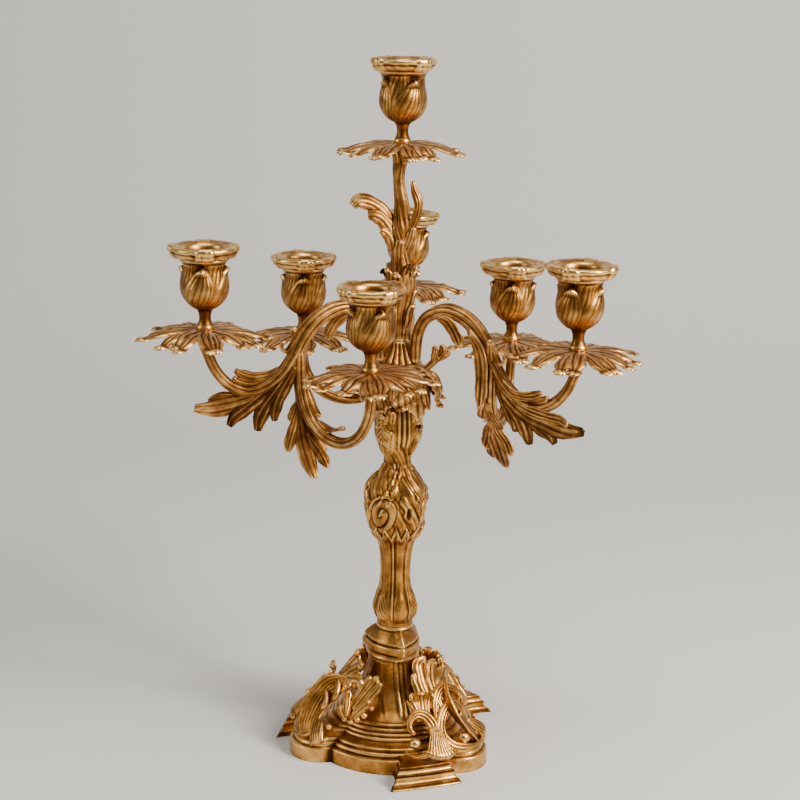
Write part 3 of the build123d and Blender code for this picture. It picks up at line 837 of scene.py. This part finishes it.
# %% Collar
collar = [turned("collar_ring", [(14.9, 299.4), (17.5, 300.5), (20.5, 303), (22, 307), (21.6, 311),
                                 (19.6, 315),
                                 (18.6, 318.6), (18.4, 319.9), (14.9, 319.9), (14.9, 319.9), (14.9, 310),
                                 (14.9, 299.4)], 120, 60,
                 lambda azimuth, radius, height, place: 0.9 * (reeds(azimuth / (2 * np.pi), 18) - 0.5)
                 * ease(radius, 15.5, 18) * (1 - ease(height, 315, 318)))]
for number, (azimuth, reach, drop, width, flick) in enumerate([
        (-70, 31, 296, 8.5, 3), (-34, 29, 290, 9.0, 1), (4, 30, 293, 8.0, 3), (38, 28, 284, 9.5, 0),
        (74, 35, 291, 7.5, 4), (108, 30, 296, 8.5, 2), (144, 33, 292, 8.5, 3), (180, 29, 289, 9.0, 1),
        (-144, 33, 293, 8.5, 3), (-106, 30, 290, 9.0, 1)]):
    spine = [at(15.5, azimuth - 10, 314), at(20, azimuth - 7, 317.5), at(reach * 0.83, azimuth - 3, 314),
             at(reach * 0.95, azimuth, (314 + drop) / 2), at(reach * 0.93, azimuth + 3, drop + 3),
             at(reach * 0.93 + flick, azimuth + 5, drop)]
    side = at(1, azimuth + 90)
    lobes = [(spine, width)]
    for way, share in ((-1, 0.78), (1, 0.84)):
        lobes.append(([np.asarray(point) + side * way * width * 0.75 * step
                       + [0, 0, 0.16 * (314 - drop) * step]
                       for point, step in zip(spine, (0, 0.3, 0.7, 1.0, 1.2, 1.3))], width * 0.62 * share))
    collar += spray(f"collar_leaf_{number}", at(1, azimuth, 1.0), lobes, relief=1.3, thickness=2.4,
                    around=28, rows=40)
collar.append(swept("sprig", [at(16, 60, 314), at(20, 64, 319), at(25, 69, 324), at(30, 73, 329),
                              at(33, 75, 332)],
                    at(1, -20), [3.2, 3.0, 2.6, 3.0, 2.4], [3.2, 3.0, 2.6, 3.0, 2.4], around=32, rows=50,
                    grooves=5, cut=0.2))
collar += spray("bud", at(1, 20, 0.3), [
    ([at(29, 72, 327), at(33, 75, 332), at(35.5, 77, 337), at(33.5, 78, 341)], 3.6),
    ([at(29, 74, 328), at(34, 80, 331), at(38, 84, 333), at(39, 86, 337)], 3.0),
    ([at(28, 70, 328), at(30, 68, 333), at(31, 66, 338), at(29, 66, 341)], 2.8)], relief=1.0, thickness=4.2)
fit(join("leafy_collar", collar), "candlestick", "gilt_stem", BRANCH_GILT, "leaf_collar")

# %% [markdown]
# ## The stem
# The baluster is one hollow casting: a small bulb, a fluted waist, a swelling of long strands with
# a coiled scroll and a pierced leaf on each third, a twisted neck and a leafy vase. Its ornament repeats
# three times round the axis. The relief is built up the way a
# chaser would talk about it: zone by zone, each with its own rule, fading into the next.

# %% Stem
STEM_THIRD = 17.0


def third(azimuth, offset=0.0):
    """Degrees from the nearest of three lines round the axis, from -60 to 60."""
    return (np.degrees(azimuth) - STEM_THIRD - offset + 60) % 120 - 60


def scroll_rings(across, up, middle, size, turns):
    """Ridge that coils inwards to a hollow, as in a carved C-scroll."""
    x = (across - middle[0]) / size[0]
    y = (up - middle[1]) / size[1]
    away = np.hypot(x, y)
    coil = away * turns + np.arctan2(y, x) / (2 * np.pi)
    body = 2.2 * reeds(coil, 1, 0.7) - 0.9 - 1.2 * swell(away, 0.3, 0.4)
    return np.where(away < 1, body, 0.0), np.clip(1 - (away - 0.85) / 0.15, 0, 1)


def stem_relief(azimuth, radius, height, place):
    """Relief of the whole stem."""
    a = third(azimuth)
    b = third(azimuth, 60)
    lift = np.zeros_like(azimuth)

    # small bulb: a broad rib between thin ones, and a leaf spray on its shoulders
    zone = ease(height, 107, 112) * (1 - ease(height, 126, 133))
    broad = 1.6 * np.sqrt(np.clip(1 - (a / 20) ** 2, 0, 1))
    thin = 1.2 * swell(np.abs(a), 26, 5)
    shoulder = 1.5 * swell(b, 0, 26) * (0.5 + 0.8 * reeds((b + (height - 110) * 1.6) / 26, 3))
    lift += zone * (np.maximum(np.maximum(broad, thin), shoulder) - 0.6)

    # waist: broad ribs with deep grooves and thin ribs beside them
    zone = ease(height, 125, 133) * (1 - ease(height, 180, 188))
    broad = 2.5 * np.sqrt(np.clip(1 - (a / 17) ** 2, 0, 1))
    beside = 2.0 * swell(np.abs(a), 27, 7)
    panel = 1.7 * np.sqrt(np.clip(1 - (b / 22) ** 2, 0, 1)) + 0.25 * reeds(b / 44, 3)
    lift += zone * (np.maximum(np.maximum(broad, beside), panel) - 0.9)

    # crown of leaf tips under the swelling
    zone = ease(height, 176, 184) * (1 - ease(height, 188, 197))
    tips = np.abs(((np.degrees(azimuth) / 24) % 1) - 0.5) * 2
    edge = 181 + 10 * tips
    lift += zone * 1.7 * ease(edge + 2.5 - height, 0, 2.2) * (0.7 + 0.3 * reeds(np.degrees(azimuth) / 24, 3))

    # swelling: broad strands in a long S, and on every third a scroll round a hollow and a pierced leaf
    zone = ease(height, 183, 192) * (1 - ease(height, 236, 246))
    slant = 34 * np.sin((height - 212) / 26 * 1.2)
    turn = (np.degrees(azimuth) + slant) / 120
    flutes = 1.3 * (reeds(turn, 4, 0.9) - 0.5) + 0.35 * (reeds(turn + 0.02, 12, 0.8) - 0.5)
    c = third(azimuth, -52)
    lean = c - (height - 201) * 0.7
    rings, near = scroll_rings(lean, height, (0, 202), (38, 19), 2.2)
    lift += zone * (flutes * (1 - near) + (rings + 0.6) * near)
    tail = swell(c - 22 - (height - 216) * 1.1, 0, 7) + swell(c - 8 - (height - 218) * 1.3, 0, 6)
    lift += zone * 1.1 * tail * ease(height, 206, 214)
    d = third(azimuth, 14)
    blade_middle = (height - 212) * -0.6
    inside = 1 - ((d - blade_middle) / (21 + 3.5 * np.sin(height / 2.1))) ** 2 - ((height - 211) / 23) ** 2
    blade = np.sqrt(np.clip(inside, 0, 1))
    lift += zone * (2.7 * blade + 0.9 * blade
                    * (reeds((d - blade_middle) / 40 + (height - 213) / 60, 3) - 0.5))
    hole = swell(d + 7, 0, 7) * swell(height, 205, 7) + 0.8 * swell(d - 6, 0, 5) * swell(height, 219, 5)
    lift -= zone * 3.4 * hole

    # neck: strands that twist into the vase
    zone = ease(height, 230, 240) * (1 - ease(height, 254, 266))
    twist = (np.degrees(azimuth) + (height - 240) * 2.6) / 360
    lift += zone * (1.7 * (reeds(twist, 6, 0.9) - 0.5) + 0.4 * (reeds(twist, 18) - 0.5))

    # vase: upright ribs between sprays of leaves
    zone = ease(height, 252, 262) * (1 - ease(height, 296, 300))
    ribs = 1.5 * swell(np.abs(a), 0, 7) + 1.3 * swell(np.abs(a), 13, 6)
    row = (height - 258) / 13.5
    leaflet = np.abs((row + 0.5 * (b > 0)) % 1 - 0.5) * 2
    veins = reeds((height + np.abs(b) * 0.45) / 9, 2)
    spray = swell(b, 0, 38) * (1.6 + 1.5 * (1 - leaflet) * swell(np.abs(b), 17, 15) + 0.8 * veins)
    lift += zone * (np.maximum(ribs, spray * 0.85) - 0.8)
    return lift


STEM_LOWER = [(4, 103.1), (14.2, 103.1), (14.6, 104.6), (15.0, 108), (17.2, 113.5), (17.8, 119),
              (15.4, 127.5),
              (12.6, 135), (11.3, 146), (11.9, 163), (14.6, 176), (18.4, 183), (20.4, 188), (22.0, 197),
              (23.4, 209), (22.8, 221), (16.4, 231), (10.9, 239), (4, 239)]
STEM_UPPER = [(4, 235), (10.6, 235), (10.4, 240), (10.2, 245), (12.9, 254), (17.9, 264), (18.6, 273),
              (17.6, 285),
              (15.0, 296), (14.4, 299.9), (13.1, 299.9), (13.1, 280), (13.1, 258), (4, 257)]
fit(turned("stem_baluster", STEM_LOWER, 240, 270, stem_relief), "candlestick", "gilt_stem", STEM_GILT,
    "stem_casting")
vase = [turned("vase", STEM_UPPER, 200, 110, stem_relief)]
for number in range(3):
    azimuth = STEM_THIRD + 120 * number
    for offset, low, reach, height, width in ((40, 256, 20.4, 275, 6.0), (80, 256, 20.4, 272, 6.0),
                                              (60, 263, 21.4, 284, 7.4), (36, 270, 20.2, 290, 5.6),
                                              (84, 268, 20.2, 289, 5.6), (60, 279, 20.6, 297, 6.4)):
        place = azimuth + offset
        spine = [at(12.5, place - 5, low - 6), at(reach - 5, place - 2, low + 3),
                 at(reach - 3.6, place, (low + height) / 2),
                 at(reach - 3.0, place + 2, height - 3), at(reach - 1.4, place + 4, height),
                 at(reach - 0.6, place + 5, height - 2)]
        vase += spray(f"vase_leaf_{number}_{offset}", at(1, place), [(spine, width * 0.72)], relief=1.0,
                      thickness=2.8, around=26, rows=36)
fit(join("stem_vase", vase), "candlestick", "gilt_stem", STEM_GILT)

# %% [markdown]
# ## The base
# The base is one heavy casting too. Its middle is turned: a low plinth, rings, a wide slope and a trumpet
# that
# rises to a three-cornered cap. Three stepped feet push out of it, and beside each foot the plinth swells
# into a round lobe. Rings that pass a lobe bend out with it, which is done here by moving each point outwards
# by the plinth's own swelling, less and less the higher it sits.

# %% Base dome
LOBE_OFFSET = 36.0
LOBE_MIDDLE, LOBE_RADIUS = 65.0, 25.0
PLINTH = 70.0


def plinth_edge(azimuth):
    """Radius of the plinth's outline, with its three lobes."""
    away = np.radians(third(azimuth, LOBE_OFFSET))
    inside = LOBE_RADIUS**2 - (LOBE_MIDDLE * np.sin(away)) ** 2
    lobe = LOBE_MIDDLE * np.cos(away) + np.sqrt(np.clip(inside, 0, None))
    return np.where(inside > 0, np.maximum(lobe, PLINTH), PLINTH)


def dome_relief(azimuth, radius, height, place):
    """Ribs and tooled bands of the trumpet."""
    outside = place < 0.93
    a = third(azimuth)
    zone = ease(height, 33, 37) * (1 - ease(height, 76.5, 78)) * outside
    near = a * np.radians(1) * radius
    triple = 0.95 * reeds(np.clip((near + 6.6) / 13.2, 0, 1), 3, 0.8) * (np.abs(near) < 6.6)
    flank = 0.22 * swell(np.abs(near) - 17, 0, 2.4) + 0.15 * swell(np.abs(near) - 22, 0, 1.8)
    tooled = 0.28 * np.sin(near * 5.5) * np.sin(height
                                                * 3.1) * (np.abs(near) > 7.5) * (np.abs(near) < 15) * (a > 0)
    corner = 1.3 * np.clip(1 - np.abs(near) / 5.0, 0, 1) * ease(height, 79, 81) * (1 - ease(height, 99, 102))
    return zone * (triple + flank + tooled) + corner * outside


DOME = [(58, 0.05), (70, 0.05), (70, 0.05), (70, 10.8), (69.6, 11.8), (68.4, 12.5), (67.0, 12.7),
        (66.4, 13.4),
        (66.6, 15.0), (65.4, 16.2), (63.8, 16.3), (63.0, 16.9), (62.7, 18.2), (61.5, 19.0), (58.5, 19.5),
        (55.5, 20.6), (54.6, 21.3), (54.8, 22.7), (53.6, 23.8), (52.2, 24.0), (51.8, 25.4), (50.6, 26.4),
        (49.4, 26.6), (49.0, 28.2), (47.8, 29.4), (46.4, 29.7), (46.0, 31.2), (44.8, 32.4), (43.2, 33.0),
        (40.5, 35.4), (35, 40.5), (29.4, 48), (25.2, 56), (22.4, 64), (20.8, 71), (20.6, 75), (21.0, 76.4),
        (22.2, 77.0), (22.8, 78.4), (22.0, 79.8), (21.2, 80.6), (21.8, 81.6), (23.4, 82.2), (24.0, 83.4),
        (24.0, 87.0), (23.6, 88.2), (22.2, 88.8), (22.0, 90), (22.6, 91.2), (21.8, 92.8), (19.4, 95.6),
        (16.8, 98.4), (14.8, 100.4), (14.5, 102.9), (5, 102.9)]
dome = turned("dome", DOME, 252, 210, dome_relief)
points = get_points(dome)
azimuth = np.arctan2(points[:, 0], -points[:, 1])
radius = np.hypot(points[:, 0], points[:, 1])
swelling = (plinth_edge(azimuth) - PLINTH) * (1 - ease(points[:, 2], 13, 30))
b = np.radians(third(azimuth, 60))
cap = ease(points[:, 2], 74, 80) * (1 - ease(points[:, 2], 97, 102.5))
corners = (0.855 / np.cos(b * 0.64) - 1) * cap
grown = (radius + swelling * (radius > 40)) * (1 + corners)
points[:, 0] *= grown / np.maximum(radius, 1e-6)
points[:, 1] *= grown / np.maximum(radius, 1e-6)
set_points(dome, points)
hollow = turned("hollow", [(58, 0.05), (58, 6), (56, 9), (50, 14), (46, 16.4), (4, 16.4)], 120, 24)
print("dome:", len(dome.data.polygons), "faces")

# %% [markdown]
# ## Feet and shells
# A foot is a stack of mouldings round one outline: each step of the profile draws the outline again, a
# little smaller. Above it stand a small C-scroll with a pearl, a fan of chased rays, a larger C-scroll with
# its own pearl and a tall ribbed shell that curls back like a wave. A ruffled leaf climbs from the shell
# towards the trumpet's neck. One foot is modelled and the other two are copies, a third of a turn apart.

# %% Feet and shells
FOOT_OUTLINE = [(-28.5, 93), (-28.5, 93), (-14, 93.8), (0, 94), (14, 93.8), (28.5, 93), (28.5, 93), (23, 84),
                (20.5, 74),
                (20, 58), (20, 58), (-20, 58), (-20, 58), (-20.5, 74), (-23, 84), (-28.5, 93)]
FOOT_PROFILE = [(30, 0.05), (1.0, 0.05), (0, 0.7), (0.1, 2.4), (1.2, 3.8), (2.0, 4.2), (3.0, 4.4),
                (3.4, 5.6), (4.6, 7.6),
                (4.4, 8.4), (3.8, 9.2), (4.2, 10.4), (5.6, 11.2), (6.6, 11.6), (7.0, 13.0), (6.5, 13.8),
                (6.9, 15.0),
                (8.4, 15.6), (10, 15.8), (30, 16.2)]


def make_foot():
    """Stepped foot that points to the front."""
    sheet, u, v = wax_sheet("foot", 120, 70)
    outline = along(smooth_line(FOOT_OUTLINE, 301), u)
    profile = along(smooth_line(FOOT_PROFILE, 181), v)
    shrink = np.clip(1 - profile[:, 0] / 29, 0.03, 1)
    front = np.clip((outline[:, 1] - 58) / 35, 0, 1)
    x = outline[:, 0] * shrink
    y = outline[:, 1] - profile[:, 0] * front * 0.9
    set_points(sheet, np.stack([x, -y, np.maximum(profile[:, 1], 0.05)], axis=1))
    return weld(sheet)


def pearl(name, middle, radius):
    """Small ball."""
    return turned(name, [(0, -radius), (radius * 0.7, -radius * 0.7), (radius, 0),
                         (radius * 0.7, radius * 0.7),
                         (0, radius)], 20, 13, middle=middle)


rocaille = [make_foot()]


def ribbon(name, spots, out, width, thickness=5.0, reed_count=3, relief=0.9, arch=-0.08, rows=84):
    """Flat scrolled band with raised edges through spots of (azimuth, radius, height)."""
    return tongue(name, [at(r, a, z) for a, r, z in spots], out, width, reed_count=reed_count, relief=relief,
                  thickness=thickness, scallop=0.0, arch=arch, around=40, rows=rows)


rocaille.append(ribbon("small_scroll", [(-2.5, 70, 35), (-5, 66.5, 38.5), (-4, 62, 43.5), (1.5, 59.5, 47),
                                        (7.5, 61, 45.5),
                                        (11.5, 65, 40), (12.5, 70, 33), (10, 75.5, 26), (4, 79.5, 21.5),
                                        (-3, 80, 20), (-8, 78, 22), (-9, 75.5, 25.5)], at(1, -6, 0.5),
                       [1.4, 2.6, 3.4, 4.2, 4.8, 5.0, 4.8, 4.4, 3.8, 3.0, 2.2, 1.2]))
rocaille.append(pearl("pearl_small", at(74, -3.0, 29), 4.6))
rocaille.append(ribbon("large_scroll", [(37, 67, 36), (41, 64.5, 40.5), (38, 61, 46), (31, 60, 48.5),
                                        (23.5, 62, 45),
                                        (18, 66.5, 37.5), (17, 72, 29.5), (21, 78, 22.5), (29, 82, 18.6),
                                        (37, 83, 17.6), (43.5, 81.5, 19.5), (46, 78, 24)], at(1, 32, 0.45),
                       [1.4, 2.8, 3.8, 4.4, 5.0, 5.4, 5.4, 5.0, 4.6, 3.8, 3.0, 1.4], rows=100))
rocaille.append(pearl("pearl_large", at(77, 31.5, 25), 5.2))
rocaille.append(ribbon("crest_scroll", [(46, 60, 46), (48, 57.5, 51), (44, 53, 56.5), (36, 50.5, 59.5),
                                        (27, 51.5, 57.5),
                                        (20, 55.5, 51), (16.5, 60.5, 43.5), (15.5, 66, 35.5)], at(1, 30, 0.6),
                       [1.2, 2.8, 3.8, 4.4, 4.6, 4.2, 3.4, 2.0]))
rocaille.append(tongue("fan", [at(60, 13, 42), at(67.5, 12.5, 36), at(74.5, 12, 29), at(80.5, 11, 22.5),
                               at(86, 10, 17)],
                       at(1, 11, 0.9), [2.6, 4.6, 7.4, 11.0, 16.0], reed_count=10, relief=1.1, thickness=7.0,
                       scallop=0.0,
                       around=76, rows=44))
rocaille += spray("crest_shell", at(1, 8, 0.2), [
    ([at(61, 4, 41), at(56, 3, 48), at(52, 1, 54), at(52, -1, 58.5), at(55, -2.5, 60)], 5.0),
    ([at(61, 7, 41), at(56, 8, 48), at(51.5, 8.5, 55), at(51.5, 8.5, 60), at(54.5, 8.5, 62)], 5.4),
    ([at(61, 10, 41), at(56, 13, 48), at(52, 16, 53.5), at(52, 18, 57.5), at(55, 19, 59)], 4.6)],
    relief=1.2, thickness=3.2)
rocaille.append(tongue("wave", [at(79, 44, 18), at(76.5, 39.5, 25), at(71.5, 35, 33), at(64.5, 31.5, 42),
                                at(57, 32, 50),
                                at(51, 37, 55.5), at(48, 45, 58), at(48.5, 52, 56.5)],
                       at(1, 78, 0.2), [6.5, 8.4, 9.6, 10.2, 10.6, 10.8, 10.0, 8.0, 5.0], reed_count=8,
                       relief=0.7,
                       thickness=3.8, scallop=0.05, arch=-0.34, around=72, rows=66, point=0.02))
rocaille += spray("wave_crest", at(1, 44, 0.8), [
    ([at(63, 25, 43), at(56.5, 25, 51), at(51, 28, 56), at(49.5, 32, 58.5), at(52, 35, 57.5)], 3.8),
    ([at(59, 29, 48), at(53, 31, 54), at(48.5, 36, 58), at(48, 41, 59.5), at(50.5, 44, 58)], 4.0),
    ([at(55, 34, 52), at(50, 39, 56), at(46.5, 46, 59), at(46.5, 51, 60), at(49, 54, 58)], 4.0)],
    relief=1.3, thickness=3.4)
rocaille.append(tongue("wave_foot", [at(80.5, 53, 17.5), at(78, 50, 22), at(73.5, 46, 27), at(69, 42, 31)],
                       at(1, 50, 0.5),
                       [7.5, 8, 7, 4.5], reed_count=6, relief=0.8, thickness=5.2, around=48, rows=36))
rocaille += spray("climbing_leaf", at(1, 36, 0.5), [
    ([at(52, 20, 48), at(43, 20, 58), at(36.5, 21, 67), at(31, 24, 75), at(31.5, 29, 79), at(34, 33, 79)],
     6.4),
    ([at(52, 26, 50), at(43, 31, 60), at(37, 39, 67), at(34.5, 49, 72), at(36.5, 55, 72.5)], 6.8),
    ([at(52, 30, 50), at(46, 40, 58), at(43, 51, 62), at(42.5, 61, 63), at(45, 66, 61)], 6.4),
    ([at(50, 17, 48), at(42, 14, 57), at(36, 12, 66), at(34, 11, 71)], 4.6)], relief=1.6, thickness=4.6)
rocaille += spray("side_leaf", at(1, 76, 0.8), [
    ([at(55, 66, 44), at(50, 71, 51.5), at(44.5, 76, 59), at(40, 80, 65), at(39.5, 82, 68.5),
      at(42, 83, 70)], 4.4),
    ([at(55, 70, 44), at(50, 76, 51), at(44.5, 82, 58.5), at(41, 87, 63.5), at(41.5, 89.5, 66)], 3.6),
    ([at(53.5, 63, 47), at(48, 66, 54), at(42.5, 70, 62), at(39.5, 73, 67), at(41, 74, 69.5)], 3.6),
    ([at(60, 64, 38.5), at(57, 61, 43.5), at(53, 58, 49.5), at(50, 56, 54), at(51, 54, 56)], 3.8),
    ([at(60.5, 68, 38), at(57.5, 71, 42.5), at(54, 75, 47.5), at(51, 79, 52), at(52, 81.5, 53.5)], 3.8),
    ([at(61, 62, 37), at(59.5, 58, 41), at(57, 54.5, 45)], 3.4)], relief=1.5, thickness=4.4)
for number, (azimuth, radius, height, size) in enumerate([(78, 55.3, 42, 2.6), (73, 57.8, 38.5, 2.6),
                                                          (68, 59.8, 36, 2.4),
                                                          (62, 60.3, 36.5, 2.2), (57, 59.6, 39, 2.2),
                                                          (83, 51, 47.5, 2.1),
                                                          (50, 48, 57.5, 2.2), (55, 70, 30, 2.4)]):
    rocaille.append(pearl(f"drop_{number}", at(radius, azimuth, height), size))
foot_pattern = join("foot_pattern", rocaille)
base_parts = [dome, hollow]
for number in range(3):
    base_parts.append(cast(foot_pattern, f"foot_{number}", STEM_THIRD + 120 * number, (0, 0, 0)))
discard(foot_pattern)
feet = base_parts[2:]
fit(join("base_dome", base_parts[:2]), "candlestick", "gilt_stem", STEM_GILT, "base_casting")
for piece in feet:
    fit(piece, "candlestick", "gilt_stem", STEM_GILT)

# %% [markdown]
# ## Stage, light and camera
# The floor runs up into a pale wall in one sweep, so that no edge shows behind the bronze. A large soft light
# stands to the right and a weaker one to the left; metal shows mostly what it reflects, so both are wide.

# %% Stage


def stage_sweep():
    """Pale floor that bends up into a wall."""
    sheet, u, v = wax_sheet("studio_sweep", 8, 60)
    line = smooth_line([(-2600, 0), (0, 0), (700, 0), (1050, 60), (1250, 300), (1300, 900), (1320, 3000)],
                       121)
    place = along(line, v)
    set_points(sheet, np.stack([(u - 0.5) * 7000, place[:, 0], place[:, 1]], axis=1))
    bpy.ops.object.shade_smooth()
    paint = bpy.data.materials.new("pale_stage")
    paint.use_nodes = True
    shader = paint.node_tree.nodes["Principled BSDF"]
    shader.inputs["Base Color"].default_value = (0.62, 0.60, 0.565, 1)
    shader.inputs["Roughness"].default_value = 0.9
    shader.inputs["Specular IOR Level"].default_value = 0.1
    sheet.data.materials.append(paint)


def soft_light(name, azimuth, elevation, distance, size, power, colour=(1, 1, 1)):
    """Square area light that looks at the middle of the candelabra."""
    bpy.ops.object.light_add(type="AREA")
    lamp = bpy.context.object
    lamp.name = name
    lamp.data.shape = "RECTANGLE"
    lamp.data.size, lamp.data.size_y = size
    lamp.data.energy = power
    lamp.data.color = colour
    flat = math.cos(math.radians(elevation)) * distance
    spot = at(flat, azimuth, math.sin(math.radians(elevation)) * distance) + np.array([0, 0, 0.28])
    lamp.location = spot
    aim = np.array([0, 0, 0.28]) - spot
    lamp.rotation_euler = (math.atan2(math.hypot(aim[0], aim[1]), -aim[2]), 0, math.atan2(-aim[0], aim[1]))


stage_sweep()
soft_light("key_right", 58, 32, 1.7, (0.6, 1.0), 62, (1.0, 0.97, 0.92))
soft_light("fill_left", -75, 22, 2.0, (0.8, 1.4), 13, (0.95, 0.97, 1.0))
soft_light("top", -10, 78, 1.9, (1.1, 1.1), 22)

world = bpy.data.worlds.new("studio")
bpy.context.scene.world = world
world.use_nodes = True
world.node_tree.nodes["Background"].inputs["Color"].default_value = (0.80, 0.80, 0.79, 1)
world.node_tree.nodes["Background"].inputs["Strength"].default_value = 0.18

# %% Camera
PITCH = math.radians(15.01)
ROLL = math.radians(0.95)
bpy.ops.object.camera_add(location=(0.0013, -1.273, 0.635))
camera = bpy.context.object
camera.data.sensor_width = 36
camera.data.lens = 74.25
level = np.array([1.0, 0, 0])
upright = np.array([0, math.sin(PITCH), math.cos(PITCH)])
right = math.cos(ROLL) * level + math.sin(ROLL) * upright
up = -math.sin(ROLL) * level + math.cos(ROLL) * upright
back = np.cross(right, up)
camera.matrix_world = Matrix([[right[k], up[k], back[k], camera.location[k]] for k in range(3)]
                             + [[0, 0, 0, 1]])
bpy.context.scene.camera = camera

# %% Sizes and the end
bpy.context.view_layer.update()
triangles = {piece.name: sum(len(face.vertices) - 2 for face in piece.data.polygons)
             for piece in bpy.data.objects if piece.type == "MESH" and piece.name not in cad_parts}
print("triangles:", sum(triangles.values()), "largest:",
      sorted(triangles.items(), key=lambda row: -row[1])[:6])
